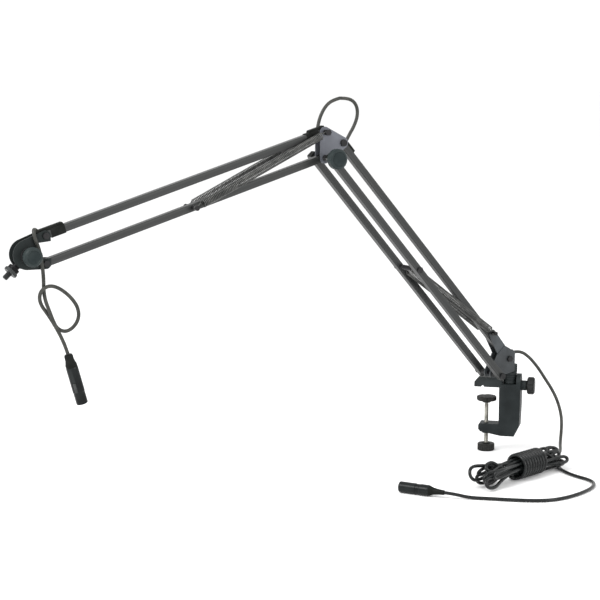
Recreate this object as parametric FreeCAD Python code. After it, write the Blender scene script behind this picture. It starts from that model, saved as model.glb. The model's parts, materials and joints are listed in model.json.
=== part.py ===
import FreeCAD, Part
import math
import os

# Desk boom arm for a microphone, with a built-in signal cable.
# Frame: origin on the underside of the upper clamp jaw, on the axis of the clamp screw.
# +Z is up, -X is the open side of the clamp, and the arm stands on the clamp's swivel post.

V = FreeCAD.Vector
os.makedirs("parts", exist_ok=True)

# ---- driving dimensions, mm and degrees ----
swivelX = 44.0             # swivel axis behind the clamp screw
pivotHeight = 56.0         # lowest tube pivot above the jaw's underside
armTurn = 46.0             # the arm's plane, turned from the clamp's plane

tubeSize = 12.5            # square tube, outside
tubeWall = 1.2
tubeCorner = 1.3
tubeEnd = 6.5              # tube past its pivot
boltD = 6.0
holeD = 6.2

lowerLength = 558.0        # pivot to pivot
lowerAngle = 132.1         # from +X, in the arm's plane
upperLength = 540.0
upperAngle = 195.9

plateIn = 6.75             # inner face of the bracket plates, from the middle plane
plateThick = 2.0
stepThick = 3.0            # extra thickness of the base plates under their step
outerTubeW = 28.5          # middle of the two outer lower tubes
springW = 15.2             # middle of the springs
springD = 13.6
springHook = 14.0          # wire hook between a pin and the first coil
lockKnobD = 35.0
headKnobD = 31.0

cableD = 6.0
floorZ = -124.0            # the surface that the loose cable lies on
hankD = 47.0               # the wrapped part of the bundled cable
hankWraps = 74.0
hankNear = (35.5, -298.2)  # where the bundle's axis starts, and its turn about +Z
hankTurn = 60.0

# clamp
clampWidth = 32.0
jawTip = -22.0
lowerJawTip = -13.5
spineIn = 25.0
spineOut = 65.0
jawThick = 19.0
seatZ = 7.0                # seat of the swivel collar
earTop = 26.0
throatBottom = -70.5
clampBottom = -93.0
screwD = 8.0
padD = 37.0
padTop = -20.0
padBottom = -32.0
screwKnobD = 32.0
screwKnobTop = -111.0
postD = 12.0
collarD = 25.0
lockScrewZ = 3.5

# microphone swivel, along its stem from the tilt pivot
swivelCollar = (26.8, 32.6)
studTip = 50.2
studD = 9.52

# pivots in the arm's plane: distance from the swivel axis, height over the lowest pivot
def along(start, length, angle):
    a = math.radians(angle)
    return (start[0] + length * math.cos(a), start[1] + length * math.sin(a))


basePivotA = (-11.0, 0.0)                          # middle tube, low end
basePivotB = (-48.0, -25.0)                        # outer tubes, low end
elbowPivotA = along(basePivotA, lowerLength, lowerAngle)
elbowPivotB = along(basePivotB, lowerLength, lowerAngle)
elbowPivotC = (elbowPivotB[0], elbowPivotB[1] + 44.0)
headPivotC = along(elbowPivotC, upperLength, upperAngle)
headPivotB = along(elbowPivotB, upperLength, upperAngle)
tiltPivot = (headPivotB[0] - 29.5, headPivotB[1] + 13.9)
springBase = (-52.0, 52.7)
springRod = along(basePivotB, 284.0, lowerAngle)
springPin = along(elbowPivotB, 266.0, upperAngle)


# ---- helpers ----
def save(name, *shapes):
    """Writes one node, from one or more separate solids."""
    solids = []
    for s in shapes:
        solids += s.Solids
    shape = solids[0] if len(solids) == 1 else Part.makeCompound(solids)
    if not shape.isValid():
        print("not valid:", name)
    shape.exportStep("parts/%s.step" % name)
    print("%-22s solids %d  volume %.0f" % (name, len(solids), shape.Volume))


def inArm(shape):
    """Turns a shape from the arm's plane (x out of the axis, -y to the front) to its place."""
    placed = shape.copy()
    placed.rotate(V(0, 0, 0), V(0, 0, 1), armTurn)
    placed.translate(V(swivelX, 0, pivotHeight))
    return placed


def armPoint(u, w, z):
    """A point of the arm's plane: u from the swivel axis, w to the front, z over the pivot."""
    a = math.radians(armTurn)
    x = u * math.cos(a) + w * math.sin(a)
    y = u * math.sin(a) - w * math.cos(a)
    return V(x + swivelX, y, z + pivotHeight)


def rod(p, w0, w1, d):
    """A cylinder across the arm, from w0 to w1 (front is positive)."""
    return Part.makeCylinder(d / 2.0, abs(w1 - w0), V(p[0], -min(w0, w1), p[1]), V(0, -1, 0))


def hexagon(p, w0, w1, across):
    r = across / math.sqrt(3)
    ring = []
    for k in range(7):
        a = math.radians(60 * k)
        ring.append(V(p[0] + r * math.cos(a), -w0, p[1] + r * math.sin(a)))
    return Part.Face(Part.makePolygon(ring)).extrude(V(0, w0 - w1, 0))


def squareTube(start, end, w):
    """A square tube between two pivots, with a cross hole at each."""
    dx, dz = end[0] - start[0], end[1] - start[1]
    length = math.hypot(dx, dz)
    s, i = tubeSize, tubeSize - 2 * tubeWall
    outer = Part.makeBox(length + 2 * tubeEnd, s, s, V(-tubeEnd, -s / 2, -s / 2))
    edges = [e for e in outer.Edges if abs(e.tangentAt(e.FirstParameter).x) > 0.9]
    outer = outer.makeFillet(tubeCorner, edges)
    inner = Part.makeBox(length + 2 * tubeEnd + 2, i, i, V(-tubeEnd - 1, -i / 2, -i / 2))
    tube = outer.cut(inner)
    for x in (0.0, length):
        tube = tube.cut(Part.makeCylinder(holeD / 2, s + 2, V(x, -s / 2 - 1, 0), V(0, 1, 0)))
    return alongTube(tube, start, end, w)


def alongTube(shape, start, end, w):
    """Moves a shape made along +X at the origin onto the line from one pivot to the next."""
    angle = math.degrees(math.atan2(end[1] - start[1], end[0] - start[0]))
    placed = shape.copy()
    placed.rotate(V(0, 0, 0), V(0, -1, 0), angle)
    placed.translate(V(start[0], -w, start[1]))
    return placed


def endCap(length, atEnd):
    """A plug in a tube's end with a thin flange, along +X."""
    i = tubeSize - 2 * tubeWall - 0.2
    x = length + tubeEnd if atEnd else -tubeEnd
    plug = Part.makeBox(2.4, i, i, V(x - 2.4 if atEnd else x, -i / 2, -i / 2))
    flangeX = x if atEnd else x - 1.2
    flange = Part.makeBox(1.2, tubeSize, tubeSize, V(flangeX, -tubeSize / 2, -tubeSize / 2))
    edges = [e for e in flange.Edges if abs(e.tangentAt(e.FirstParameter).x) > 0.9]
    flange = flange.makeFillet(tubeCorner, edges)
    pivotX = length if atEnd else 0
    hollow = Part.makeCylinder(boltD / 2 + 0.4, tubeSize, V(pivotX, -tubeSize / 2, 0), V(0, 1, 0))
    return plug.fuse(flange).cut(hollow)


def hull(circles):
    """The outline round a ring of circles (x, z, r), given anticlockwise, as a face at y = 0."""
    edges = []
    n = len(circles)
    tangents = []
    for k in range(n):
        x0, z0, r0 = circles[k]
        x1, z1, r1 = circles[(k + 1) % n]
        a = math.atan2(z1 - z0, x1 - x0)
        b = math.acos((r0 - r1) / math.hypot(x1 - x0, z1 - z0))
        t = a - b
        tangents.append((V(x0 + r0 * math.cos(t), 0, z0 + r0 * math.sin(t)),
                         V(x1 + r1 * math.cos(t), 0, z1 + r1 * math.sin(t)), t))
    for k in range(n):
        p0, p1, t0 = tangents[k]
        q0, q1, t1 = tangents[(k + 1) % n]
        x, z, r = circles[(k + 1) % n]
        edges.append(Part.makeLine(p0, p1))
        while t1 < t0:
            t1 += 2 * math.pi
        mid = (t0 + t1) / 2
        middle = V(x + r * math.cos(mid), 0, z + r * math.sin(mid))
        edges.append(Part.Arc(p1, middle, q0).toShape())
    return Part.Face(Part.Wire(Part.__sortEdges__(edges)))


def plate(face, w0, w1, holes):
    """Extrudes a face of the arm's plane from w0 to w1 and bores its holes (x, z, d)."""
    body = face.copy()
    body.translate(V(0, -w0, 0))
    body = body.extrude(V(0, w0 - w1, 0))
    low, high = min(w0, w1) - 1, max(w0, w1) + 1
    for x, z, d in holes:
        body = body.cut(rod((x, z), low, high, d))
    return body


def cableTube(points, d):
    """A round cable: straight runs joined by the largest arcs that the runs allow."""
    edges = []
    radii = []
    last = points[0]
    count = len(points)
    for k in range(1, count - 1):
        a, b, c = points[k - 1], points[k], points[k + 1]
        into = (b - a).normalize()
        away = (c - b).normalize()
        half = math.acos(max(-1.0, min(1.0, into.dot(away)))) / 2
        cutBack = 0.45 * min((b - a).Length, (c - b).Length)
        radius = cutBack / math.tan(half)
        radii.append(radius)
        start = b - into * cutBack
        end = b + away * cutBack
        inward = (away - into).normalize()
        centre = b + inward * (radius / math.cos(half))
        middle = centre - inward * radius
        edges.append(Part.LineSegment(last, start).toShape())
        edges.append(Part.Arc(start, middle, end).toShape())
        last = end
    edges.append(Part.LineSegment(last, points[-1]).toShape())
    path = Part.Wire(edges)
    ring = Part.Wire([Part.makeCircle(d / 2, points[0], points[1] - points[0])])
    tube = path.makePipeShell([ring], True, True)
    solid = tube if tube.ShapeType == "Solid" else Part.Solid(tube)
    expected = path.Length * math.pi * d * d / 4
    print("  length %.1f  volume ratio %.4f  radii %s" % (
        path.Length, solid.Volume / expected, " ".join("%.0f" % r for r in radii)))
    return solid


def knurled(radius, height, count, depth):
    """A grip along +Z with round scallops down its side and softened ends."""
    body = Part.makeCylinder(radius, height)
    body = body.makeChamfer(1.0, [e for e in body.Edges if len(e.Vertexes) == 1])
    for k in range(count):
        a = 2 * math.pi * k / count
        r = depth * 1.6
        c = radius + r - depth
        body = body.cut(Part.makeCylinder(r, height + 2, V(c * math.cos(a), c * math.sin(a), -1)))
    return body


def turned(profile):
    """A solid of revolution about +Z from (radius, height) corners."""
    pts = [V(r, 0, z) for r, z in profile]
    return Part.Face(Part.makePolygon(pts + [pts[0]])).revolve(V(0, 0, 0), V(0, 0, 1), 360)


def aim(shape, point, direction):
    """Moves a shape made along +Z to a point, pointing along a direction."""
    placed = shape.copy()
    turn = FreeCAD.Placement(point, FreeCAD.Rotation(V(0, 0, 1), direction))
    placed.Placement = turn.multiply(shape.Placement)
    return placed


# ---- clamp ----
def makeClamp():
    half = clampWidth / 2
    outline = [
        (jawTip, 0), (jawTip, 9), (jawTip + 9, jawThick), (spineIn + 4, jawThick),
        (spineIn + 6, seatZ), (spineOut - 8, seatZ), (spineOut - 8, earTop),
        (spineOut, earTop), (spineOut, -35), (spineOut - 1.5, clampBottom + 19), (spineOut - 11, clampBottom),
        (spineIn + 4, clampBottom), (lowerJawTip + 4, throatBottom - 15.5), (lowerJawTip, throatBottom - 11),
        (lowerJawTip, throatBottom - 3), (lowerJawTip + 2.5, throatBottom), (spineIn, throatBottom), (spineIn, 0)]
    ring = [V(x, -half, z) for x, z in outline]
    body = Part.Face(Part.makePolygon(ring + [ring[0]])).extrude(V(0, clampWidth, 0))
    # the ear is rounded over its width
    arch = Part.makeCylinder(half, 12, V(spineOut - 10, 0, earTop - half), V(1, 0, 0))
    keep = Part.makeBox(12, clampWidth, 60, V(spineOut - 10, -half, earTop - half - 60))
    ear = Part.makeBox(8, clampWidth, half + 2, V(spineOut - 8, -half, earTop - half))
    body = body.cut(ear.cut(arch.fuse(keep)))
    soft = [e for e in body.Edges if e.Length > 6 and abs(e.CenterOfMass.y) > half - 0.1
            and e.CenterOfMass.z < jawThick - 1 and e.CenterOfMass.x < spineOut - 1]
    body = body.makeFillet(1.2, soft)
    # the jaw's groove for a round rail, the screw's thread, the post's bore and the lock screw
    body = body.cut(Part.makeCylinder(3.0, clampWidth + 2, V(-6, -half - 1, 0), V(0, 1, 0)))
    body = body.fuse(Part.makeCylinder(8.0, 8, V(0, 0, clampBottom + 2.5))).removeSplitter()
    body = body.cut(Part.makeCylinder(screwD / 2 + 0.1, 40, V(0, 0, clampBottom - 8)))
    body = body.cut(Part.makeCylinder(postD / 2 + 0.1, seatZ + 42, V(swivelX, 0, -40)))
    boss = Part.makeCylinder(9.5, 9.5, V(spineOut - 0.5, 0, lockScrewZ), V(1, 0, 0))
    body = body.fuse(boss).removeSplitter()
    body = body.cut(Part.makeCylinder(3.1, 40, V(swivelX, 0, lockScrewZ), V(1, 0, 0)))
    save("clamp_frame", body)

    pad = turned([(0, padBottom), (7.5, padBottom), (8.5, padBottom + 3), (padD / 2 - 1, padBottom + 4),
                  (padD / 2, padBottom + 5), (padD / 2, padTop - 1), (padD / 2 - 1, padTop), (0, padTop)])
    for k in range(4):
        a = math.radians(20 + 90 * k)
        pad = pad.cut(Part.makeCylinder(4.2, 30, V(19.5 * math.cos(a), 19.5 * math.sin(a), padBottom - 4)))
    pad = pad.cut(Part.makeSphere(4.2, V(0, 0, padBottom + 4)))
    pad = pad.cut(Part.makeCylinder(3.2, 10, V(0, 0, padBottom - 6)))
    save("clamp_pad", pad)

    spindle = turned([(0, screwKnobTop - 10), (screwD / 2, screwKnobTop - 10), (screwD / 2, padBottom - 3),
                      (2.8, padBottom - 1.5), (2.8, padBottom + 1.0), (0, padBottom + 1.0)])
    spindle = spindle.fuse(Part.makeSphere(4.0, V(0, 0, padBottom + 4))).removeSplitter()
    save("clamp_screw", spindle)

    knob = knurled(screwKnobD / 2, 13, 24, 0.8)
    knob = knob.fuse(turned([(0, 12.9), (8, 12.9), (8, 14.5), (0, 14.5)])).removeSplitter()
    knob.translate(V(0, 0, screwKnobTop - 13))
    knob = knob.cut(Part.makeCylinder(screwD / 2, 12, V(0, 0, screwKnobTop - 10)))
    save("clamp_screw_knob", knob)

    # lock screw and its lobed knob, behind the clamp
    screw = Part.makeCylinder(3.0, 28.5, V(swivelX + postD / 2 + 0.2, 0, lockScrewZ), V(1, 0, 0))
    save("swivel_lock_screw", screw)
    body = turned([(0, 0), (9, 0), (9, 2), (14, 2), (16.5, 4), (16.5, 13), (14, 15.5), (0, 15.5)])
    for k in range(7):
        a = 2 * math.pi * k / 7
        body = body.cut(Part.makeCylinder(4.0, 20, V(19.0 * math.cos(a), 19.0 * math.sin(a), -2)))
    body = body.cut(Part.makeCylinder(3.0, 6.0, V(0, 0, -1)))
    knobX = spineOut + 9.5
    save("swivel_lock_knob", aim(body, V(knobX, 0, lockScrewZ), V(1, 0, 0)))


# ---- base bracket ----
def makeBase():
    post = Part.makeCylinder(postD / 2, 62, V(0, 0, -92))
    groove = Part.makeCylinder(postD / 2 + 1, 12, V(0, 0, -59)).cut(
        Part.makeCylinder(postD / 2 - 1.2, 12, V(0, 0, -59)))
    save("swivel_post", inArm(post.cut(groove)))

    low = seatZ - pivotHeight + 0.3
    high = -27.6
    collar = turned([(postD / 2, low), (collarD / 2 - 1, low), (collarD / 2, low + 1),
                     (collarD / 2, high - 1), (collarD / 2 - 1, high), (postD / 2, high)])
    for k in range(3):
        z = high - 5.5 - 4.5 * k
        ring = Part.makeCylinder(collarD, 1.6, V(0, 0, z)).cut(
            Part.makeCylinder(collarD / 2 - 1.0, 1.6, V(0, 0, z)))
        collar = collar.cut(ring)
    save("swivel_collar", inArm(collar))

    block = Part.makeBox(29, 2 * plateIn, 15.6, V(-18, -plateIn, high))
    stub = Part.makeCylinder(postD / 2, 6, V(0, 0, -30))
    block = block.cut(Part.makeCylinder(postD / 2, 6.0, V(0, 0, high - 2)))
    block = block.cut(stub)
    edges = [e for e in block.Edges if abs(e.tangentAt(e.FirstParameter).y) > 0.9 and e.CenterOfMass.z > high + 10]
    save("base_block", inArm(block.makeFillet(2, edges)))

    d = (math.cos(math.radians(lowerAngle)), math.sin(math.radians(lowerAngle)))
    q = (d[1], -d[0])

    def station(s, t):
        return (basePivotA[0] + s * d[0] + t * q[0], basePivotA[1] + s * d[1] + t * q[1])

    top0 = station(66, 1)
    top1 = station(66, 8)
    step0 = station(24, -10)
    step1 = station(24, 7)
    tongue = hull([(step0[0], step0[1], 3), (step1[0], step1[1], 3), (top1[0], top1[1], 4), (top0[0], top0[1], 4)])
    main = hull([(basePivotB[0], basePivotB[1], 8.0), (-2, -22, 4), (-1.5, 10, 4),
                 (step1[0], step1[1], 3), (step0[0], step0[1], 3)])
    holes = [(basePivotA[0], basePivotA[1], boltD), (basePivotB[0], basePivotB[1], boltD)]
    for name, side in (("front", 1), ("rear", -1)):
        thin = plate(tongue, side * plateIn, side * (plateIn + plateThick), holes)
        thick = plate(main, side * plateIn, side * (plateIn + stepThick), holes)
        both = thin.fuse(thick).removeSplitter()
        both = both.cut(rod(springBase, side * (plateIn - 1), side * 12, 4.0))
        save("base_plate_" + name, inArm(both))

    face = plateIn + stepThick
    upper = rod(basePivotA, -face - 1, face + 1, boltD)
    upper = upper.fuse(hexagon(basePivotA, face, face + 4, 10)).fuse(hexagon(basePivotA, -face, -face - 4.5, 10))
    out = outerTubeW + tubeSize / 2 + 0.6
    lower = rod(basePivotB, -out - 1, out + 1, boltD)
    lower = lower.fuse(hexagon(basePivotB, out, out + 4, 10)).fuse(hexagon(basePivotB, -out, -out - 4.5, 10))
    save("base_bolts", inArm(upper.removeSplitter()), inArm(lower.removeSplitter()))

    spacers = []
    for side in (-1, 1):
        sleeve = rod(basePivotB, side * face, side * (outerTubeW - tubeSize / 2 - 0.3), 11)
        spacers.append(inArm(sleeve.cut(rod(basePivotB, side * (face - 1), side * 40, boltD))))
    save("base_spacers", *spacers)

    studs = []
    for side in (-1, 1):
        stud = rod(springBase, side * plateIn, side * 21, 4.0)
        stud = stud.fuse(rod(springBase, side * (plateIn + plateThick), side * (springW - 2.2), 7.0))
        stud = stud.fuse(rod(springBase, side * (springW + 2.2), side * 21, 7.0))
        studs.append(inArm(stud.removeSplitter()))
    save("spring_studs", *studs)

    gland = Part.makeCylinder(5.6, 5, V(-1.5, 0, 9.5), V(1, 0, 0))
    gland = gland.cut(Part.makeCylinder(cableD / 2, 9, V(-2.5, 0, 9.5), V(1, 0, 0)))
    bar = rod((0.2, 9.5), -plateIn, plateIn, 5.0).cut(Part.makeCylinder(5.0, 12, V(-4, 0, 9.5), V(1, 0, 0)))
    save("cable_gland", inArm(gland.fuse(bar).removeSplitter()))


# ---- tubes, springs and the cable in the tubes ----
def springSolid(pinA, pinB, w):
    """A spring's outer shape: a coil body between two thin hooks."""
    dx, dz = pinB[0] - pinA[0], pinB[1] - pinA[1]
    length = math.hypot(dx, dz)
    body = Part.makeCylinder(springD / 2, length - 2 * springHook, V(springHook, 0, 0), V(1, 0, 0))
    for x in (4.0, length - springHook - 1):
        body = body.fuse(Part.makeCylinder(1.0, springHook - 3, V(x, 0, 0), V(1, 0, 0)))
    return inArm(alongTube(body.removeSplitter(), pinA, pinB, w))


def outletBlock(s0, s1):
    """A moulded cable outlet on a tube's upper face, along +X."""
    top = tubeSize / 2 + 5.0
    pts = [V(s0, -4.6, tubeSize / 2), V(s1, -4.6, tubeSize / 2), V(s1 - 3, -4.6, top), V(s0 + 1, -4.6, top)]
    body = Part.Face(Part.makePolygon(pts + [pts[0]])).extrude(V(0, 9.2, 0))
    edges = [e for e in body.Edges if e.CenterOfMass.z > top - 0.1]
    return body.makeFillet(1.6, edges)


def makeLowerArm():
    centre = squareTube(basePivotA, elbowPivotA, 0.0)
    slot = Part.makeBox(16, 6.6, 6, V(lowerLength - 26, -3.3, -tubeSize))
    mouth = Part.makeBox(14, 6.6, 6, V(14, -3.3, -tubeSize))
    centre = centre.cut(alongTube(slot.fuse(mouth), basePivotA, elbowPivotA, 0.0))
    save("lower_tube_centre", inArm(centre))
    outer = []
    for name, w in (("front", outerTubeW), ("rear", -outerTubeW)):
        tube = squareTube(basePivotB, elbowPivotB, w)
        tube = tube.cut(rod(springRod, w - 8, w + 8, boltD))
        save("lower_tube_" + name, inArm(tube))
        outer += [inArm(alongTube(endCap(lowerLength, end), basePivotB, elbowPivotB, w)) for end in (False, True)]
    caps = [inArm(alongTube(endCap(lowerLength, end), basePivotA, elbowPivotA, 0.0)) for end in (False, True)]
    save("centre_tube_caps", *caps)
    save("outer_tube_caps", *outer)

    reach = outerTubeW + tubeSize / 2
    cross = rod(springRod, -reach - 1, reach + 1, boltD)
    for side in (-1, 1):
        cross = cross.fuse(hexagon(springRod, side * reach, side * (reach + 3.5), 10))
    inner = outerTubeW - tubeSize / 2
    cross = cross.fuse(rod(springRod, -springW + 2.2, springW - 2.2, 9.0))
    for side in (-1, 1):
        cross = cross.fuse(rod(springRod, side * (springW + 2.2), side * inner, 9.0))
    save("spring_cross_rod", inArm(cross.removeSplitter()))

    block = outletBlock(-30.0, -5.0)
    block.rotate(V(0, 0, 0), V(1, 0, 0), 180)
    block.translate(V(lowerLength, 0, 0))
    block = block.cut(Part.makeCylinder(cableD / 2 + 0.1, 16, V(lowerLength - 16, 0, -9.6), V(1, 0, -0.1)))
    save("elbow_outlet", inArm(alongTube(block, basePivotA, elbowPivotA, 0.0)))

    run = Part.makeCylinder(cableD / 2, lowerLength - 60, V(30, 0, 0), V(1, 0, 0))
    save("lower_inner_cable", inArm(alongTube(run, basePivotA, elbowPivotA, 0.0)))
    save("lower_springs", *[springSolid(springBase, springRod, w) for w in (springW, -springW)])


def makeUpperArm():
    top = squareTube(elbowPivotC, headPivotC, 0.0)
    for s in (8.0, upperLength - 12.0):
        slot = Part.makeBox(10, 6.6, 6, V(s, -3.3, -tubeSize))
        top = top.cut(alongTube(slot, elbowPivotC, headPivotC, 0.0))
    save("upper_tube_top", inArm(top))
    bottom = squareTube(elbowPivotB, headPivotB, 0.0)
    bottom = bottom.cut(rod(springPin, -10, 10, boltD))
    save("upper_tube_bottom", inArm(bottom))
    caps = [inArm(alongTube(endCap(upperLength, end), elbowPivotB, headPivotB, 0.0)) for end in (False, True)]
    save("upper_tube_caps", *caps)

    blocks = []
    for s0, s1, sleeve in ((-4.0, 30.0, 11.0), (upperLength - 36.0, upperLength + 8.0, upperLength - 36.0)):
        block = outletBlock(s0, s1)
        wide, tall = tubeSize + 0.5, tubeSize + 2.4
        saddle = Part.makeBox(25, wide, tall, V(sleeve, -wide / 2, -tall / 2))
        edges = [e for e in saddle.Edges if abs(e.tangentAt(e.FirstParameter).x) > 0.9]
        saddle = saddle.makeFillet(1.4, edges)
        saddle = saddle.cut(Part.makeBox(27, tubeSize, tubeSize, V(sleeve - 1, -tubeSize / 2, -tubeSize / 2)))
        block = block.fuse(saddle).removeSplitter()
        block.rotate(V(0, 0, 0), V(1, 0, 0), 180)
        blocks.append(inArm(alongTube(block, elbowPivotC, headPivotC, 0.0)))
    save("upper_outlets", *blocks)

    pin = rod(springPin, -21, 21, boltD)
    for side in (-1, 1):
        pin = pin.fuse(rod(springPin, side * (tubeSize / 2 + 0.1), side * (springW - 2.2), 8.5))
        pin = pin.fuse(rod(springPin, side * (springW + 2.2), side * 21, 8.5))
    save("upper_spring_pin", inArm(pin.removeSplitter()))

    run = Part.makeCylinder(cableD / 2, upperLength - 44, V(20, 0, 0), V(1, 0, 0))
    save("upper_inner_cable", inArm(alongTube(run, elbowPivotC, headPivotC, 0.0)))
    save("upper_springs", *[springSolid(elbowPivotC, springPin, w) for w in (springW, -springW)])


# ---- elbow ----
def makeElbow():
    a, b, c = elbowPivotA, elbowPivotB, elbowPivotC
    outline = hull([(b[0], b[1], 9.5), (a[0], a[1], 10.0), (c[0], c[1], 9.5)])
    holes = [(p[0], p[1], boltD) for p in (a, b, c)]
    for name, side in (("front", 1), ("rear", -1)):
        save("elbow_plate_" + name,
             inArm(plate(outline, side * plateIn, side * (plateIn + plateThick), holes)))

    face = plateIn + plateThick
    side1 = rod(a, -face - 1, face + 1, boltD)
    side1 = side1.fuse(rod(a, face, face + 4, 12)).fuse(hexagon(a, -face, -face - 4.5, 10))
    topBolt = rod(c, -21, 21, boltD)
    for side in (-1, 1):
        topBolt = topBolt.fuse(rod(c, side * face, side * (springW - 2.2), 9.0))
        topBolt = topBolt.fuse(hexagon(c, side * (springW + 2.2), side * 21, 10))
    save("elbow_bolts", inArm(side1.removeSplitter()), inArm(topBolt.removeSplitter()))

    out = outerTubeW + tubeSize / 2
    lock = rod(b, -out - 1.6, out + 14, boltD)
    lock = lock.fuse(hexagon(b, -out - 0.6, -out - 5, 10))
    save("elbow_lock_bolt", inArm(lock.removeSplitter()))
    spacers = []
    for side in (-1, 1):
        sleeve = rod(b, side * face, side * (outerTubeW - tubeSize / 2 - 0.3), 11)
        spacers.append(inArm(sleeve.cut(rod(b, side * (face - 1), side * 40, boltD))))
    save("elbow_spacers", *spacers)
    save("elbow_lock_knob", lockKnob(b, out + 0.5, lockKnobD, 18.0))


def lockKnob(p, w, d, height):
    """A round hand knob on a bolt: a neck, a drum with a fluted edge and a shallow face."""
    r = d / 2
    body = turned([(0, 0), (7, 0), (7, 4), (r - 1.5, 5), (r, 7), (r, height - 2), (r - 2, height),
                   (r - 4.5, height), (r - 5.5, height - 1), (0, height - 1)])
    for k in range(24):
        a = 2 * math.pi * k / 24
        body = body.cut(Part.makeCylinder(1.2, height + 2, V((r + 0.7) * math.cos(a), (r + 0.7) * math.sin(a), -1)))
    body = body.cut(Part.makeCylinder(boltD / 2 + 0.1, 13.6, V(0, 0, -0.1)))
    return inArm(aim(body, V(p[0], -w, p[1]), V(0, -1, 0)))


# ---- head ----
def makeHead():
    c, b, t = headPivotC, headPivotB, tiltPivot
    outline = hull([(t[0] - 1.5, t[1] + 2.2, 24.0), (b[0], b[1], 8.5), (c[0], c[1], 8.5)])
    waist = hull([(c[0] - 11, c[1] - 32.0, 3), (c[0] + 12, c[1] - 32.5, 3), (c[0] + 12, c[1] - 11.5, 3),
                  (c[0] - 13, c[1] - 13.5, 3)])
    holes = [(p[0], p[1], boltD) for p in (c, b, t)]
    for name, side in (("front", 1), ("rear", -1)):
        body = plate(outline, side * plateIn, side * (plateIn + plateThick), holes)
        save("head_plate_" + name, inArm(body.cut(plate(waist, side * 5, side * 12, []))))

    face = plateIn + plateThick
    bolts = []
    for p in (c, b):
        bolt = rod(p, -face - 1, face + 1, boltD)
        bolt = bolt.fuse(hexagon(p, face, face + 3.5, 10)).fuse(hexagon(p, -face, -face - 4.5, 10))
        bolts.append(inArm(bolt.removeSplitter()))
    save("head_bolts", *bolts)
    lock = rod(t, -face - 1, face + 18, boltD)
    lock = lock.fuse(hexagon(t, -face, -face - 4.5, 12))
    lock = lock.fuse(rod(t, face, face + 5.0, 27).cut(rod(t, face - 1, face + 6, boltD)))
    save("head_lock_bolt", inArm(lock.removeSplitter()))
    save("head_lock_knob", lockKnob(t, face + 5.4, headKnobD, 17.0))

    # the microphone swivel: a disc between the plates, a ribbed stem and the threaded stud
    stem = V(math.cos(math.radians(222)), 0, math.sin(math.radians(222)))
    centre = V(t[0], 0, t[1])
    disc = rod(t, -plateIn + 0.3, plateIn - 0.3, 34)
    low, high = swivelCollar
    collar = turned([(0, 8), (6.2, 8), (6.2, low), (9.5, low + 0.2), (9.5, high - 0.6), (8.8, high), (0, high)])
    for k in range(4):
        z = low + 0.9 + 1.3 * k
        collar = collar.cut(turned([(8.7, z), (10, z), (10, z + 0.6), (8.7, z + 0.6)]))
    neck = aim(collar, centre, stem)
    swivel = disc.fuse(neck).removeSplitter().cut(rod(t, -10, 10, boltD + 0.4))
    root, tip = studD / 2 - 0.26, studD / 2
    stud = turned([(0, low), (root, low), (root, high + 6.4), (tip, high + 6.4), (tip, studTip - 1),
                   (tip - 0.9, studTip), (0, studTip)])
    socket = swivel.cut(aim(turned([(0, low), (root, low), (root, 60), (0, 60)]), centre, stem))
    save("mic_swivel", inArm(socket))
    save("mic_stud", inArm(aim(stud, centre, stem)))
    ring = knurled(11.5, 5.5, 26, 0.6)
    ring = ring.cut(Part.makeCylinder(root + 0.1, 10, V(0, 0, -2)))
    ring.translate(V(0, 0, high + 0.4))
    save("stud_lock_ring", inArm(aim(ring, centre, stem)))


# ---- free cable and plugs ----
def armRoute(rows):
    return [armPoint(u, w, z) for u, w, z in rows]


elbowRise = [(-373, 0, 417), (-367, 0, 427), (-358, 1, 441), (-351, 1, 457), (-350, 0, 472), (-357, 0, 484),
             (-371, 0, 490), (-386.4, 0, 490)]
elbowFall = [(-387.8, 0, 489.9), (-402, 0, 487), (-416, 0, 477), (-425, 0, 463), (-430, 0, 450), (-432, 0, 440)]
headDrop = [(-952, 0, 292.5), (-958, 3.2, 296.5), (-962.5, 10.3, 293.5), (-961.5, 13.6, 282), (-955, 13, 266),
            (-951.5, 12.2, 250), (-949, 12, 233), (-947.5, 11, 216),
            (-947.5, 10, 200), (-946.5, 13, 184), (-941.5, 16, 168), (-934.5, 13, 152),
            (-926, 9, 137), (-912, 10, 130), (-898, 12, 137), (-889, 13, 152), (-891, 13, 169),
            (-902, 13, 185), (-917, 14, 198), (-932, 17, 206), (-945, 18, 207), (-954, 15, 200),
            (-955.5, 10, 188), (-950.5, 7, 175), (-942, 8, 163), (-935, 12, 150), (-928.5, 17, 136),
            (-921, 17, 121), (-914, 14, 107), (-909, 12, 94)]
floorLine = floorZ + cableD / 2
leadStart = [(46.5, 2.6, 65.5), (55.0, 11.0, 66.0), (65.0, 17.0, 63.0), (73.5, 19.8, 56.5)]
baseLead = [(73.9, 19.9, 56.2), (82.0, 22.0, 48.0), (94.0, 24.0, 33.0), (107.0, 25.0, 13.0),
            (119.0, 26.0, -5.0), (129.0, 26.0, -24.0), (136.0, 25.0, -44.0), (140.0, 20.0, -62.0),
            (141.0, 8.0, -80.0), (141.5, -10.0, -93.0), (143.0, -33.0, -100.0), (146.0, -57.0, -102.0),
            (147.0, -81.0, -102.5), (145.0, -104.0, -104.0)]
tailLead = [(150.0, -120.0), (157.0, -141.0), (171.0, -161.0), (189.0, -180.0), (209.0, -196.0),
            (221.0, -218.0), (220.0, -248.0), (207.0, -286.0), (186.0, -323.0), (162.0, -349.0),
            (134.0, -361.0), (98.0, -365.0), (58.0, -366.0), (22.0, -368.0)]
tailRise = [(-4.0, -371.0, 8.5), (-20.0, -371.0, 9.6)]


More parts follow.
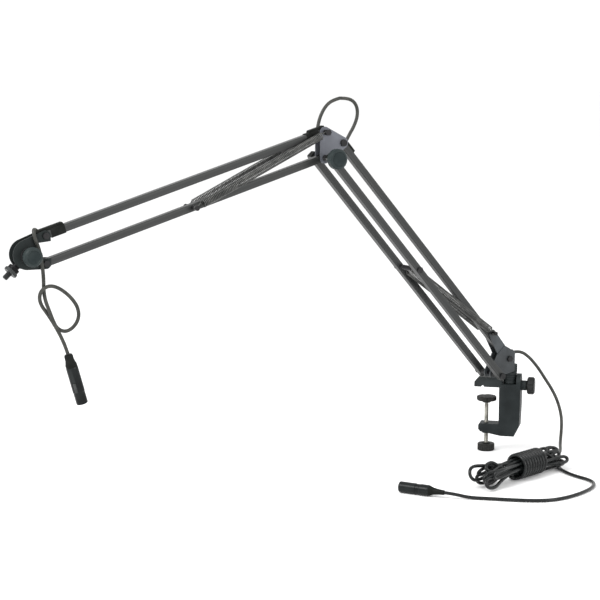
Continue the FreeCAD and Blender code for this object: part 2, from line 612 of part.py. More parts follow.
def makeCables():
    save("elbow_loop_rise", cableTube(armRoute(elbowRise), cableD))
    save("elbow_loop_fall", cableTube(armRoute(elbowFall), cableD))
    save("head_cable", cableTube(armRoute(headDrop), cableD))
    save("lead_start", cableTube([V(*p) for p in leadStart], cableD))
    save("base_lead", cableTube([V(*p) for p in baseLead], cableD))
    tail = [V(x, y, floorLine) for x, y in tailLead] + [V(x, y, floorZ + h) for x, y, h in tailRise]
    save("tail_lead", cableTube(tail, cableD))

    # the hank: folds of cable fanned at both ends, bound by the cable's own wraps
    near = hull([(-6, -20, 14), (96, -12, 9), (96, 12, 9), (-2, 20, 18)])
    near.rotate(V(0, 0, 0), V(1, 0, 0), -90)
    far = hull([(160, -9, 8), (214, -16, 12), (214, 14, 12), (160, 9, 8)])
    far.rotate(V(0, 0, 0), V(1, 0, 0), -90)
    wraps = Part.makeCylinder(hankD / 2, hankWraps, V(90, 0, hankD / 2), V(1, 0, 0))
    folds = near.extrude(V(0, 0, 43))
    tips = far.extrude(V(0, 0, 38))
    tips.translate(V(0, 0, 5))
    hank = folds.fuse(wraps).fuse(tips).removeSplitter()
    hank.rotate(V(0, 0, 0), V(0, 0, 1), hankTurn)
    hank.translate(V(hankNear[0], hankNear[1], floorZ + 0.3))
    save("cord_hank", hank)


def makePlugs():
    # female plug on the head cable, hanging along the cable's end
    top = armPoint(-909, 12, 94)
    low = armPoint(-886, 12, 13)
    down = (low - top).normalize()
    length = (low - top).Length
    boot = turned([(cableD / 2, 0), (6.0, 0), (7.0, 2), (7.2, 9), (8.6, 15), (9.4, 17), (9.4, 21), (cableD / 2, 21)])
    save("xlr_female_boot", aim(boot, top, down))
    shell = turned([(7.9, 21.2), (9.4, 21.2), (9.8, 23), (9.8, length - 21), (9.4, length - 20), (9.4, length - 1),
                    (8.9, length), (7.9, length)])
    slot = Part.makeBox(8, 5.4, 17, V(6, -2.7, length - 38))
    shell = shell.cut(slot)
    insert = turned([(0, length - 34), (7.9, length - 34), (7.9, length - 0.6), (0, length - 0.6)])
    for k in range(3):
        a = math.radians(90 + 120 * k)
        insert = insert.cut(Part.makeCylinder(1.5, 16, V(4.0 * math.cos(a), 4.0 * math.sin(a), length - 12)))
    insert = insert.cut(slot)
    save("xlr_female_insert", aim(insert, top, down))
    save("xlr_female_shell", aim(shell, top, down))
    latch = Part.makeBox(4.4, 4.8, 15.5, V(6.6, -2.4, length - 37.2))
    latch = latch.makeFillet(1.2, [e for e in latch.Edges if e.CenterOfMass.x > 10.5])
    save("xlr_female_latch", aim(latch, top, down))

    # male plug on the tail, lying on the surface
    back = V(-20.0, -371.0, floorZ + 9.6)
    out = V(-100.0, -349.0, floorZ + 9.6)
    way = (out - back).normalize()
    reach = (out - back).Length
    boot = turned([(cableD / 2, 0), (4.2, 0), (4.8, 10), (6.2, 20), (8.0, 25), (8.6, 27), (cableD / 2, 27)])
    save("xlr_male_boot", aim(boot, back, way))
    shell = turned([(8.0, 27.2), (9.0, 27.2), (9.5, 29), (9.5, 44), (9.0, 45), (9.0, 52), (9.5, 53),
                    (9.5, reach - 1), (9.0, reach), (8.0, reach)])
    save("xlr_male_shell", aim(shell, back, way))
    insert = Part.makeCylinder(8.0, reach - 13 - 29, V(0, 0, 29))
    for k in range(3):
        a = math.radians(90 + 120 * k)
        insert = insert.fuse(Part.makeCylinder(1.2, 10, V(4.0 * math.cos(a), 4.0 * math.sin(a), reach - 14)))
    save("xlr_male_insert", aim(insert.removeSplitter(), back, way))


makeClamp()
makeBase()
makeLowerArm()
makeUpperArm()
makeElbow()
makeHead()
makeCables()
makePlugs()
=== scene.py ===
import json
import math

import bpy
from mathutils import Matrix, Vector


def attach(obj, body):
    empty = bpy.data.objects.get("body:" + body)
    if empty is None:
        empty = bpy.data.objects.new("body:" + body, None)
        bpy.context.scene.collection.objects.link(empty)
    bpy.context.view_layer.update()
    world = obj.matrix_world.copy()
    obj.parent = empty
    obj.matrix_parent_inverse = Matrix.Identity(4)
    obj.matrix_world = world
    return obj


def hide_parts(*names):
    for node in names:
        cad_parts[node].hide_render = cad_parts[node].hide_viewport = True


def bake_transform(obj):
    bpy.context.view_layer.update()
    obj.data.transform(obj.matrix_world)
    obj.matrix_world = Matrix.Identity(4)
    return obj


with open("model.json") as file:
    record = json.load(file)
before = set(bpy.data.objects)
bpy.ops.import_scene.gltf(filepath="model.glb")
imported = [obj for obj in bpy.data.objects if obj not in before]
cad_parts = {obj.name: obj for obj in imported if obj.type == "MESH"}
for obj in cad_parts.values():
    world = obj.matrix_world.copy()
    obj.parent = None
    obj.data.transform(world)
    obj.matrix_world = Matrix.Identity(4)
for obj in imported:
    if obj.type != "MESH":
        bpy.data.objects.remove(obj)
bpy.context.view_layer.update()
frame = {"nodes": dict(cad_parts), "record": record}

mm = 0.001
standingZ = -124.0  # the surface under the clamp's knob, in mm

# the arm stands in one upright plane, turned about the swivel
armPlane = {"swivelX": 44.0, "pivotZ": 56.0, "turn": 46.0}


def armPoint(u, w, z):  # out along the arm, to the arm's front, up from the lowest pivot, in mm
    a = math.radians(armPlane["turn"])
    x = u * math.cos(a) + w * math.sin(a) + armPlane["swivelX"]
    y = u * math.sin(a) - w * math.cos(a)
    return Vector((x, y, z + armPlane["pivotZ"])) * mm


def rowPoint(x, y, z):
    return Vector((x, y, z)) * mm


def armWay(angle):  # a direction in the arm's plane
    a = math.radians(angle)
    return (armPoint(math.cos(a), 0, math.sin(a)) - armPoint(0, 0, 0)).normalized()


armFront = (armPoint(0, 1, 0) - armPoint(0, 0, 0)).normalized()


def pivotAlong(start, length, angle):
    a = math.radians(angle)
    return (start[0] + length * math.cos(a), start[1] + length * math.sin(a))


# pivots in the arm's plane, lengths from pivot to pivot in mm and slopes in degrees
arm = {"outerLow": (-48.0, -25.0), "lower": 558, "lowerTilt": 132.1, "upper": 540, "upperTilt": 195.9,
       "topAbove": 44, "micFromHead": (-29.5, 13.9), "micTilt": 222}
outerHigh = pivotAlong(arm["outerLow"], arm["lower"], arm["lowerTilt"])
topHigh = (outerHigh[0], outerHigh[1] + arm["topAbove"])
headLow = pivotAlong(outerHigh, arm["upper"], arm["upperTilt"])
tiltAt = (headLow[0] + arm["micFromHead"][0], headLow[1] + arm["micFromHead"][1])

# ---- camera ----
cameraSet = {"place": (0.421, -3.151, 0.630), "back": (0.2393, -0.9599, 0.1461), "lens": 102.0}


def setCamera():
    data = bpy.data.cameras.new("standCamera")
    data.lens = cameraSet["lens"]
    data.sensor_width = 36
    camera = bpy.data.objects.new("standCamera", data)
    camera.location = cameraSet["place"]
    camera.rotation_euler = Vector(cameraSet["back"]).to_track_quat("Z", "Y").to_euler()
    bpy.context.collection.objects.link(camera)
    bpy.context.scene.camera = camera


setCamera()
print("camera set")

# ---- finishes: every surface has its own colour drift, roughness and grain ----
finishRamp = {"dark": 0.32, "light": 0.7, "edgeShadeHighlightFrom": 0.52, "edgeShadeHighlightTo": 0.62, "bumpDepth": 0.0002}


def makeFinish(name, look):
    material = bpy.data.materials.new(name)
    material.use_nodes = True
    nodes, links = material.node_tree.nodes, material.node_tree.links
    shader = nodes["Principled BSDF"]
    shader.inputs["Metallic"].default_value = look.get("metal", 0.0)
    shader.inputs["Specular IOR Level"].default_value = look.get("shine", 0.3)
    place = nodes.new("ShaderNodeTexCoord")
    drift = nodes.new("ShaderNodeTexNoise")
    drift.inputs["Scale"].default_value = look["driftScale"]
    drift.inputs["Detail"].default_value = 5
    grain = nodes.new("ShaderNodeTexNoise")
    grain.inputs["Scale"].default_value = look["grainScale"]
    grain.inputs["Detail"].default_value = 3
    for texture in (drift, grain):
        links.new(place.outputs["Object"], texture.inputs["Vector"])
    colour = nodes.new("ShaderNodeValToRGB")
    colour.color_ramp.elements[0].position = finishRamp["dark"]
    colour.color_ramp.elements[1].position = finishRamp["light"]
    colour.color_ramp.elements[0].color = (*look["dark"], 1)
    colour.color_ramp.elements[1].color = (*look["light"], 1)
    links.new(drift.outputs["Fac"], colour.inputs["Fac"])
    tone = colour.outputs["Color"]
    if look.get("edgeShadeHighlight"):  # painted edge colour: a dark line of painted shade along the tube and plate edges, lighter rims of painted highlight on the knobs, lighter edges on the other dark parts
        edges = nodes.new("ShaderNodeNewGeometry")
        edgeShadeHighlightMask = nodes.new("ShaderNodeMapRange")
        edgeShadeHighlightMask.inputs["From Min"].default_value = finishRamp["edgeShadeHighlightFrom"]
        edgeShadeHighlightMask.inputs["From Max"].default_value = finishRamp["edgeShadeHighlightTo"]
        edgeShadeHighlightMask.inputs["To Max"].default_value = look["edgeShadeHighlight"]
        links.new(edges.outputs["Pointiness"], edgeShadeHighlightMask.inputs["Value"])
        edgeShadeHighlightMix = nodes.new("ShaderNodeMix")
        edgeShadeHighlightMix.data_type = "RGBA"
        edgeShadeHighlightMix.inputs["B"].default_value = (*look["edgeShadeHighlightColour"], 1)
        links.new(edgeShadeHighlightMask.outputs["Result"], edgeShadeHighlightMix.inputs["Factor"])
        links.new(tone, edgeShadeHighlightMix.inputs["A"])
        tone = edgeShadeHighlightMix.outputs["Result"]
    links.new(tone, shader.inputs["Base Color"])
    sheen = nodes.new("ShaderNodeMapRange")
    sheen.inputs["To Min"].default_value = look["rough"][0]
    sheen.inputs["To Max"].default_value = look["rough"][1]
    links.new(grain.outputs["Fac"], sheen.inputs["Value"])
    links.new(sheen.outputs["Result"], shader.inputs["Roughness"])
    bump = nodes.new("ShaderNodeBump")
    bump.inputs["Strength"].default_value = look["bump"]
    bump.inputs["Distance"].default_value = finishRamp["bumpDepth"]
    links.new(grain.outputs["Fac"], bump.inputs["Height"])
    links.new(bump.outputs["Normal"], shader.inputs["Normal"])
    return material


paintedEdgeShade = (0.012, 0.013, 0.013)  # painted shade: the dark line along the edges of the tubes and plates
finishLooks = {
    # the tubes' edge colour is a dark line of painted shade along their edges
    "tubePaint": {
        "dark": (0.046, 0.049, 0.047), "light": (0.072, 0.076, 0.073), "rough": (0.3, 0.44),
        "driftScale": 14, "grainScale": 700, "bump": 0.12, "edgeShadeHighlight": 0.9, "edgeShadeHighlightColour": paintedEdgeShade,
        "shine": 0.4},
    "clampPaint": {
        "dark": (0.008, 0.0105, 0.011), "light": (0.015, 0.019, 0.02), "rough": (0.42, 0.58),
        "driftScale": 45, "grainScale": 1400, "bump": 0.35, "edgeShadeHighlight": 0.2,
        "edgeShadeHighlightColour": (0.07, 0.08, 0.08), "shine": 0.16},
    "basePlatePaint": {
        "dark": (0.04, 0.046, 0.051), "light": (0.062, 0.07, 0.076), "rough": (0.28, 0.4),
        "driftScale": 40, "grainScale": 900, "bump": 0.15, "edgeShadeHighlight": 0.5, "edgeShadeHighlightColour": paintedEdgeShade},
    # a lighter copy of the plate paint: painted reflection on the elbow plates
    "elbowPlateLitPaint": {
        "dark": (0.19, 0.2, 0.235), "light": (0.25, 0.262, 0.3), "rough": (0.24, 0.36),
        "driftScale": 30, "grainScale": 900, "bump": 0.12, "edgeShadeHighlight": 0.5, "edgeShadeHighlightColour": paintedEdgeShade},
    # a darker copy of the plate paint: painted shade on the head plates
    "headPlateShadedPaint": {
        "dark": (0.003, 0.004, 0.004), "light": (0.007, 0.009, 0.009), "rough": (0.3, 0.42),
        "driftScale": 40, "grainScale": 900, "bump": 0.15, "edgeShadeHighlight": 0.3,
        "edgeShadeHighlightColour": (0.06, 0.07, 0.07), "shine": 0.05},
    "rolledSteel": {
        "dark": (0.22, 0.215, 0.19), "light": (0.4, 0.39, 0.35), "rough": (0.25, 0.42),
        "metal": 1.0, "driftScale": 160, "grainScale": 2500, "bump": 0.2},
    "grippedPlastic": {
        "dark": (0.01, 0.01, 0.009), "light": (0.02, 0.02, 0.018), "rough": (0.5, 0.66),
        "driftScale": 90, "grainScale": 1800, "bump": 0.4, "shine": 0.2},
    # the lighter edge colour paints highlights on the knob's rims
    "knobPlastic": {
        "dark": (0.008, 0.014, 0.015), "light": (0.02, 0.028, 0.028), "rough": (0.34, 0.5),
        "driftScale": 45, "grainScale": 1600, "bump": 0.3, "edgeShadeHighlight": 0.3,
        "edgeShadeHighlightColour": (0.08, 0.09, 0.09), "shine": 0.14},
    # the light edge colour paints a highlight on the knob's rim
    "swivelKnobPlastic": {
        "dark": (0.003, 0.0035, 0.0035), "light": (0.008, 0.009, 0.009), "rough": (0.3, 0.44),
        "driftScale": 60, "grainScale": 1600, "bump": 0.3, "edgeShadeHighlight": 0.12,
        "edgeShadeHighlightColour": (0.3, 0.3, 0.3), "shine": 0.08},
    "blackSteel": {
        "dark": (0.003, 0.003, 0.004), "light": (0.009, 0.009, 0.01), "rough": (0.3, 0.46),
        "driftScale": 120, "grainScale": 1500, "bump": 0.2, "edgeShadeHighlight": 0.2,
        "edgeShadeHighlightColour": (0.1, 0.1, 0.1), "shine": 0.08},
    "springWire": {
        "dark": (0.04, 0.042, 0.041), "light": (0.12, 0.12, 0.115), "rough": (0.22, 0.36),
        "metal": 0.5, "driftScale": 70, "grainScale": 1500, "bump": 0.15},
    "capPlastic": {
        "dark": (0.004, 0.005, 0.004), "light": (0.011, 0.012, 0.011), "rough": (0.5, 0.68),
        "driftScale": 100, "grainScale": 1700, "bump": 0.4, "shine": 0.1},
    "cableJacket": {
        "dark": (0.02, 0.021, 0.018), "light": (0.042, 0.042, 0.036), "rough": (0.36, 0.54),
        "driftScale": 90, "grainScale": 1100, "bump": 0.3},
    # a darker copy of the cable jacket for the same cable in the bundle and its tail: painted shade
    "bundleShadedJacket": {
        "dark": (0.004, 0.005, 0.005), "light": (0.01, 0.0115, 0.0115), "rough": (0.2, 0.32),
        "driftScale": 90, "grainScale": 1100, "bump": 0.3, "shine": 0.28},
    "swivelMetal": {
        "dark": (0.007, 0.008, 0.008), "light": (0.018, 0.02, 0.02), "rough": (0.32, 0.46),
        "driftScale": 110, "grainScale": 1500, "bump": 0.3, "edgeShadeHighlight": 0.3,
        "edgeShadeHighlightColour": (0.14, 0.15, 0.15), "shine": 0.15},
    "plugMetal": {
        "dark": (0.003, 0.004, 0.004), "light": (0.008, 0.01, 0.01), "rough": (0.2, 0.32),
        "driftScale": 60, "grainScale": 1600, "bump": 0.25, "edgeShadeHighlight": 0.2,
        "edgeShadeHighlightColour": (0.09, 0.1, 0.1), "shine": 0.14},
    "plugRubber": {
        "dark": (0.004, 0.005, 0.004), "light": (0.01, 0.011, 0.01), "rough": (0.5, 0.68),
        "driftScale": 90, "grainScale": 1600, "bump": 0.4, "shine": 0.1},
    "plugInsert": {
        "dark": (0.006, 0.006, 0.007), "light": (0.011, 0.011, 0.012), "rough": (0.5, 0.65),
        "driftScale": 90, "grainScale": 1700, "bump": 0.3},
    "latchPlastic": {
        "dark": (0.02, 0.022, 0.022), "light": (0.04, 0.043, 0.043), "rough": (0.3, 0.45),
        "driftScale": 90, "grainScale": 1500, "bump": 0.25},
}
finishes = {name: makeFinish(name, look) for name, look in finishLooks.items()}

slotFinishes = {
    "tube_paint": "tubePaint", "clamp_paint": "clampPaint", "plate_paint": "basePlatePaint",
    "screw_steel": "rolledSteel", "screw_knob": "grippedPlastic", "knob_plastic": "knobPlastic",
    "black_steel": "blackSteel", "spring_steel": "springWire", "cap_plastic": "capPlastic",
    "cable_rubber": "cableJacket", "swivel_metal": "swivelMetal", "plug_shell": "plugMetal",
    "plug_boot": "plugRubber", "plug_insert": "plugInsert", "latch_plastic": "latchPlastic"}
nodeFinishes = {  # nodes whose finish differs from the rest of their slot
    # the elbow and head plates take lighter and darker copies of the plate paint, painted reflection and
    # painted shade
    "elbow_plate_front": "elbowPlateLitPaint", "elbow_plate_rear": "elbowPlateLitPaint",
    "head_plate_front": "headPlateShadedPaint", "head_plate_rear": "headPlateShadedPaint",
    "swivel_lock_knob": "swivelKnobPlastic", "clamp_pad": "grippedPlastic", "mic_swivel": "blackSteel"}


def paintFrame():
    for part in frame["record"]["subparts"]:
        node = frame["nodes"][part["node"]]
        finish = nodeFinishes.get(part["node"], slotFinishes[part["material_slot"]])
        for holder in node.material_slots:
            holder.material = finishes[finish]


paintFrame()
print("frame painted")

# ---- the free cable ----
cable = {"diameter": 6.0, "smoothness": 8, "sides": 5}


def layCurve(name, kind, points, sides):  # a line with no thickness yet
    data = bpy.data.curves.new(name, "CURVE")
    data.dimensions = "3D"
    spline = data.splines.new(kind)
    spline.points.add(len(points) - 1)
    for point, at in zip(spline.points, points):
        point.co = (*at, 1.0)
    data.bevel_resolution = sides
    data.use_fill_caps = True
    curve = bpy.data.objects.new(name, data)
    bpy.context.collection.objects.link(curve)
    return curve


def cableLine(name, points):
    curve = layCurve(name, "NURBS", points, cable["sides"])
    spline = curve.data.splines[0]
    spline.order_u = 3
    spline.use_endpoint_u = True
    spline.resolution_u = cable["smoothness"]
    return curve


def routeOf(curve):  # the points along a line that has no thickness yet
    bpy.context.view_layer.update()
    line = bpy.data.meshes.new_from_object(curve)
    return [v.co.copy() for v in line.vertices]


def routeLength(route):
    return sum((b - a).length for a, b in zip(route, route[1:]))


def tubeMesh(name, curve, radius):  # the line gets its thickness and turns into a mesh
    curve.data.bevel_depth = radius
    bpy.context.view_layer.update()
    skin = bpy.data.meshes.new_from_object(curve.evaluated_get(bpy.context.evaluated_depsgraph_get()))
    bpy.data.objects.remove(curve)
    for face in skin.polygons:
        face.use_smooth = True
    tube = bpy.data.objects.new(name, skin)
    bpy.context.collection.objects.link(tube)
    return tube


def cableTube(name, points):  # the cable as a mesh, with the line that it follows
    line = cableLine(name + "Line", points)
    route = routeOf(line)
    return tubeMesh(name, line, cable["diameter"] * mm / 2), route


def dress(piece, finish):
    piece.data.materials.clear()
    piece.data.materials.append(finishes[finish])


def makeElbowLoop():
    rise = [armPoint(*p) for p in [
        (-373, 0, 417), (-367, 0, 427), (-358, 1, 441), (-351, 1, 457), (-350, 0, 472), (-357, 0, 484),
        (-371, 0, 490), (-386.9, 0, 490.2)]]
    fall = [armPoint(*p) for p in [
        (-386.7, 0, 490.2), (-402, 0, 487), (-416, 0, 477), (-425, 0, 463), (-430, 0, 450), (-432, 0, 440)]]
    for name, points, low, high, start, end in (
            ("elbowLoopRise", rise, "lower_middle", "elbow", (-373, 0, 417), (-351, 0, 462)),
            ("elbowLoopFall", fall, "elbow", "upper_top", (-420, 0, 470), (-431, 0, 444))):
        tube, route = cableTube(name, points)
        dress(tube, "cableJacket")
        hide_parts("elbow_loop_rise" if name.endswith("Rise") else "elbow_loop_fall")
        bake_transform(tube)


def makeHeadCable():
    points = [armPoint(*p) for p in [
        (-952, 0, 292.5), (-958, 3.2, 296.5), (-962.5, 10.3, 293.5), (-961.5, 13.6, 282),
        (-955, 13, 266), (-951.5, 12.2, 250), (-949, 12, 233), (-947.5, 11, 216), (-947.5, 10, 200),
        (-946.5, 13, 184), (-941.5, 16, 168), (-934.5, 13, 152), (-926, 9, 137), (-912, 10, 130),
        (-898, 12, 137), (-889, 13, 152), (-891, 13, 169), (-902, 13, 185), (-917, 14, 198),
        (-932, 17, 206), (-945, 18, 207), (-954, 15, 200), (-955.5, 10, 188), (-950.5, 7, 175),
        (-942, 8, 163), (-935, 12, 150), (-928.5, 17, 136), (-921, 17, 121), (-914, 14, 107),
        (-909, 12, 94)]]
    tube, route = cableTube("headCable", points)
    dress(tube, "cableJacket")
    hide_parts("head_cable")
    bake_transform(tube)


def makeBaseLead():
    points = [rowPoint(*p) for p in [
        (46.5, 2.6, 65.5), (55.0, 11.0, 66.0), (65.0, 17.0, 63.0), (73.5, 19.8, 56.5),
        (82.0, 22.0, 48.0), (94.0, 24.0, 33.0), (107.0, 25.0, 13.0), (119.0, 26.0, -5.0),
        (129.0, 26.0, -24.0), (136.0, 25.0, -44.0), (140.0, 20.0, -62.0), (141.0, 8.0, -80.0),
        (141.5, -10.0, -93.0), (143.0, -33.0, -100.0), (146.0, -57.0, -102.0),
        (147.0, -81.0, -102.5), (145.0, -104.0, -104.0)]]
    tube, route = cableTube("baseLead", points)
    dress(tube, "cableJacket")
    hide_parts("lead_start", "base_lead")
    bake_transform(tube)


# the bundle: long folds that fan out at both ends, bound by nine turns of the same cable
bundle = {"near": (35.5, -298.2), "turn": 60.0, "centreZ": 23.7, "wrapFrom": 93.0, "wrapTo": 161.0,
          "wraps": 9, "wrapRadius": 21.0105, "pointsPerWrap": 12, "spacing": 6.4, "twistPerRing": 20,
          "holdFrom": 88.0, "holdTo": 166.0}
# the round of a fold's tip: share of the half-width, and distance out past the tip
foldRound = ((-1.0, -20), (-1.0, -8), (-0.72, 0), (0.0, 4), (0.72, 0), (1.0, -8), (1.0, -20))


def bundlePoint(s, across, up):
    a = math.radians(bundle["turn"])
    x = bundle["near"][0] + s * math.cos(a) - across * math.sin(a)
    y = bundle["near"][1] + s * math.sin(a) + across * math.cos(a)
    return rowPoint(x, y, standingZ + up)


def holdPlaces():  # each strand's place in the binding, across and up: one, six round it, ten round those
    places = [(0.0, 0.0)]
    for ring, count in ((1, 6), (2, 10)):
        for k in range(count):
            a = math.radians(360.0 * k / count + bundle["twistPerRing"] * ring)
            places.append((ring * bundle["spacing"] * math.cos(a), ring * bundle["spacing"] * math.sin(a)))
    return places


# each fold's tip: across, height, distance along, half its width, and the slope of its plane
nearTips = [(0, 15, 8, 8, 90), (14, 27, -15, 12, 70), (-16, 14, -8, 9, 65), (-4, 20, 2, 9, 100),
            (14, 14, 4, 8, 60), (-18, 26, 12, 8, 110), (6, 33, 20, 8, 60), (20, 24, 16, 8, 120)]
farTips = [(0, 22, 208, 6, 40), (6, 33, 214, 6, 60), (-14, 14, 214, 6, 30), (-6, 28, 212, 7, 50),
           (10, 24, 212, 6, 80), (-20, 20, 218, 6, 50), (2, 34, 216, 7, 30), (16, 30, 210, 6, 60)]


def foldPoints(tip, s0, away, leaving, returning):  # out round a tip and back, away is -1 near and 1 far
    across, up, along, half, slope = tip
    side = (half * math.cos(math.radians(slope)), half * math.sin(math.radians(slope)))
    lift = bundle["centreZ"] - up
    toLeaving = leaving[0] * side[0] + (leaving[1] + lift) * side[1]
    toReturning = returning[0] * side[0] + (returning[1] + lift) * side[1]
    if toLeaving > toReturning:  # the strands don't cross at the tip
        side = (-side[0], -side[1])
    points = []
    for place, sign in ((leaving, -1), (returning, 1)):
        midAcross = (place[0] + across + sign * side[0]) / 2
        midUp = (place[1] + bundle["centreZ"] + up + sign * side[1]) / 2
        points.append(bundlePoint((s0 + along) / 2, midAcross, midUp))
    turn = []
    for share, out in foldRound:
        turn.append(bundlePoint(along + away * out, across + share * side[0], up + share * side[1]))
    return [points[0]] + turn + [points[1]]


def bundleRoute():
    centre = bundle["centreZ"]
    holds = holdPlaces()
    low, high = bundle["holdFrom"], bundle["holdTo"]  # where the folds enter the binding
    points = [bundlePoint(206, 3, 21), bundlePoint(192, 2, 22)]
    for k, tip in enumerate(nearTips):
        out, back = holds[2 * k], holds[2 * k + 1]
        points += [bundlePoint(s, out[0], centre + out[1]) for s in (high, low)]
        points += foldPoints(tip, low, -1, out, back)
        points += [bundlePoint(s, back[0], centre + back[1]) for s in (low, high)]
        points += foldPoints(farTips[k], high, 1, back, holds[2 * k + 2])
    last = holds[2 * len(nearTips)]
    points += [bundlePoint(high, last[0], centre + last[1]), bundlePoint(104, last[0], centre + last[1]),
               bundlePoint(88, 15, centre - 8), bundlePoint(86, 5, centre - 20)]
    r = bundle["wrapRadius"]
    steps = bundle["wraps"] * bundle["pointsPerWrap"]
    for k in range(steps + 1):
        a = math.radians(-90 - 360.0 * k / bundle["pointsPerWrap"])
        s = bundle["wrapFrom"] + (bundle["wrapTo"] - bundle["wrapFrom"]) * k / steps
        points.append(bundlePoint(s, r * math.cos(a), centre + r * math.sin(a)))
    return points


def makeBundleAndTail():
    tail = [
        (150.0, -120.0), (157.0, -141.0), (171.0, -161.0), (189.0, -180.0), (209.0, -196.0),
        (221.0, -218.0), (220.0, -248.0), (207.0, -286.0), (186.0, -323.0), (162.0, -349.0),
        (134.0, -361.0), (98.0, -365.0), (58.0, -366.0), (22.0, -368.0)]
    points = bundleRoute()
    points += [rowPoint(142, -104, standingZ + 3.2)]
    points += [rowPoint(x, y, standingZ + cable["diameter"] / 2) for x, y in tail]
    points += [rowPoint(-4, -371, standingZ + 8.5), rowPoint(-20, -371, standingZ + 9.6)]
    cord = cableLine("bundleAndTail", points)
    length = routeLength(routeOf(cord))
    cord.data.bevel_depth = cable["diameter"] * mm / 2
    dress(cord, "bundleShadedJacket")
    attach(cord, "clamp")
    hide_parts("cord_hank", "tail_lead")
    print("bundle and tail: %.2f m" % length)


makeElbowLoop()
makeHeadCable()
makeBaseLead()
makeBundleAndTail()
print("cables laid")

# ---- springs ----
springLook = {"wire": 2.0, "pitch": 2.9, "outer": 13.6, "hook": 14.0, "perTurn": 12, "eye": 3.4,
              "eyeSteps": 9, "eyeFrom": -150, "eyeSweep": 300, "neckAlong": 0.62, "neckAcross": 0.4,
              "bendTo": 0.55}


def springEye(pin, way, side):  # most of a round about a pin
    r = springLook["eye"] * mm
    points = []
    for k in range(springLook["eyeSteps"] + 1):
        t = math.radians(springLook["eyeFrom"] + springLook["eyeSweep"] * k / springLook["eyeSteps"])
        points.append(pin - way * r * math.cos(t) + side * r * math.sin(t))
    return points


def makeSpring(name, start, end, w):
    a, b = armPoint(start[0], w, start[1]), armPoint(end[0], w, end[1])
    along = (b - a).normalized()
    across = along.cross(armFront).normalized()
    wire = springLook["wire"] * mm
    r = springLook["outer"] * mm / 2 - wire / 2
    span = (b - a).length
    hook = springLook["hook"] * mm
    neckAlong, neckAcross = along * (hook * springLook["neckAlong"]), across * springLook["neckAcross"] * r
    points = springEye(a, along, across) + [a + neckAlong + neckAcross]
    turns = int((span - 2 * hook) / (springLook["pitch"] * mm))
    steps = turns * springLook["perTurn"]
    for k in range(steps + 1):
        t = 2 * math.pi * k / springLook["perTurn"]
        centre = a + along * (hook + (span - 2 * hook) * k / steps)
        points.append(centre + (across * math.cos(t) + armFront * math.sin(t)) * r)
    points += [b - neckAlong + neckAcross] + springEye(b, -along, -across)
    spring = tubeMesh(name, layCurve(name + "Wire", "POLY", points, 2), wire / 2)
    dress(spring, "springWire")
    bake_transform(spring)
    return spring


springPlaces = {"aside": 15.2, "base": (-52.0, 52.7), "rodUp": 284, "pinUp": 266}
springRod = pivotAlong(arm["outerLow"], springPlaces["rodUp"], arm["lowerTilt"])
springPin = pivotAlong(outerHigh, springPlaces["pinUp"], arm["upperTilt"])
for side, w in (("Front", springPlaces["aside"]), ("Rear", -springPlaces["aside"])):
    spring = makeSpring("lowerSpring" + side, springPlaces["base"], springRod, w)
    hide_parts("lower_springs")
    spring = makeSpring("upperSpring" + side, topHigh, springPin, w)
    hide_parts("upper_springs")
print("springs wound")

# ---- threads ----
threadLook = {"around": 28, "perPitch": 5, "fadeRows": 20 / 3}


def meshPiece(name, corners, faces, smooth=True):
    mesh = bpy.data.meshes.new(name)
    mesh.from_pydata(corners, [], faces)
    mesh.validate()
    for face in mesh.polygons:
        face.use_smooth = smooth
    piece = bpy.data.objects.new(name, mesh)
    bpy.context.collection.objects.link(piece)
    return piece


def makeThread(name, base, way, thread):
    length, radius, pitch, depth = [thread[k] for k in ("length", "radius", "pitch", "depth")]
    side = way.orthogonal().normalized()
    other = way.cross(side)
    around = threadLook["around"]
    rows = int(length / (pitch / threadLook["perPitch"]))
    corners, faces = [], []
    for j in range(rows + 1):
        s = length * j / rows
        fade = min(1.0, j / threadLook["fadeRows"], (rows - j) / threadLook["fadeRows"])
        for i in range(around):
            phase = (s / pitch - i / around) % 1.0
            r = radius - depth * fade * (1 - abs(2 * phase - 1)) - (1 - fade) * depth
            t = 2 * math.pi * i / around
            corners.append(base + way * s * mm + (side * math.cos(t) + other * math.sin(t)) * r * mm)
    for j in range(rows):
        for i in range(around):
            n = (i + 1) % around
            faces.append((j * around + i, j * around + n, (j + 1) * around + n, (j + 1) * around + i))
    faces.append(tuple(reversed(range(around))))
    faces.append(tuple(rows * around + i for i in range(around)))
    return meshPiece(name, corners, faces)


clampScrew = {"from": -121.0, "length": 87.0, "radius": 4.0, "pitch": 1.25, "depth": 0.6}


def makeClampScrew():
    piece = makeThread("clampSpindle", rowPoint(0, 0, clampScrew["from"]), Vector((0, 0, 1)), clampScrew)
    dress(piece, "rolledSteel")
    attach(piece, "screw")
    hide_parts("clamp_screw")


microphoneStud = {"from": 27.0, "length": 23.2, "radius": 4.76, "pitch": 1.59, "depth": 0.7}


def makeMicrophoneStud():
    way = armWay(arm["micTilt"])
    base = armPoint(tiltAt[0], 0, tiltAt[1]) + way * microphoneStud["from"] * mm
    piece = makeThread("microphoneStud", base, way, microphoneStud)
    dress(piece, "swivelMetal")
    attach(piece, "mic_mount")
    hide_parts("mic_stud")


makeClampScrew()
makeMicrophoneStud()
print("threads cut")

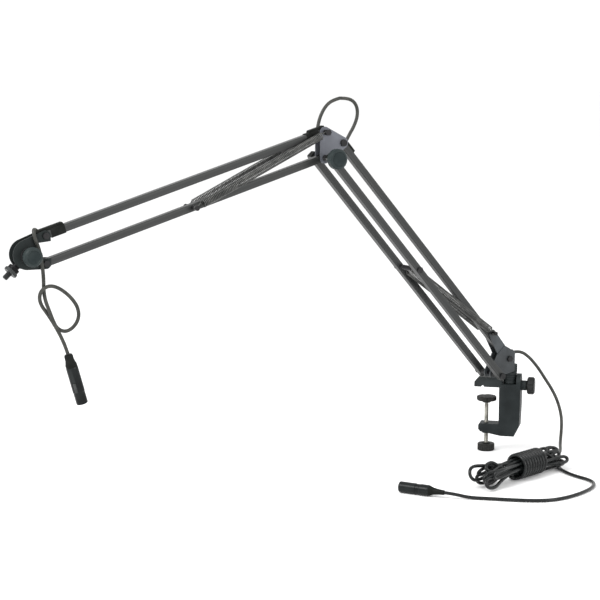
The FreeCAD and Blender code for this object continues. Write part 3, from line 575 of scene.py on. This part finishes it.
# ---- setting: pale floor and soft light ----
studio = {"floor": (0.95, 0.95, 0.95), "floorReach": 30.0, "floorGap": 0.0004, "sky": (1.0, 1.0, 1.0),
          "skyStrength": 1.08, "aim": (-0.25, -0.2, 0.2)}
lamps = [{"name": "keyLight", "size": 1.6, "power": 90.0, "place": (-1.6, -2.2, 2.4)},
         {"name": "fillLight", "size": 1.2, "power": 25.0, "place": (2.2, -1.4, 1.2)}]


def setStudio():
    size = studio["floorReach"]
    z = standingZ * mm - studio["floorGap"]
    floor = meshPiece("paleFloor", [(-size, -size, z), (size, -size, z), (size, size, z), (-size, size, z)],
                      [(0, 1, 2, 3)], smooth=False)
    material = bpy.data.materials.new("palePaper")
    material.use_nodes = True
    nodes, links = material.node_tree.nodes, material.node_tree.links
    shader = nodes["Principled BSDF"]
    grain = nodes.new("ShaderNodeTexNoise")
    grain.inputs["Scale"].default_value = 6
    tint = nodes.new("ShaderNodeValToRGB")
    tint.color_ramp.elements[0].color = (*[c * 0.985 for c in studio["floor"]], 1)
    tint.color_ramp.elements[1].color = (*studio["floor"], 1)
    links.new(grain.outputs["Fac"], tint.inputs["Fac"])
    links.new(tint.outputs["Color"], shader.inputs["Base Color"])
    shader.inputs["Roughness"].default_value = 0.9
    floor.data.materials.append(material)
    world = bpy.data.worlds.new("studioSky")
    world.use_nodes = True
    world.node_tree.nodes["Background"].inputs["Color"].default_value = (*studio["sky"], 1)
    world.node_tree.nodes["Background"].inputs["Strength"].default_value = studio["skyStrength"]
    bpy.context.scene.world = world
    for lamp in lamps:
        light = bpy.data.lights.new(lamp["name"], "AREA")
        light.size = lamp["size"]
        light.energy = lamp["power"]
        holder = bpy.data.objects.new(lamp["name"], light)
        holder.location = lamp["place"]
        aim = Vector(studio["aim"]) - Vector(lamp["place"])
        holder.rotation_euler = aim.to_track_quat("-Z", "Y").to_euler()
        bpy.context.collection.objects.link(holder)


setStudio()
bpy.context.scene.view_settings.view_transform = "Standard"  # so that white paper comes out white
print("studio lit")
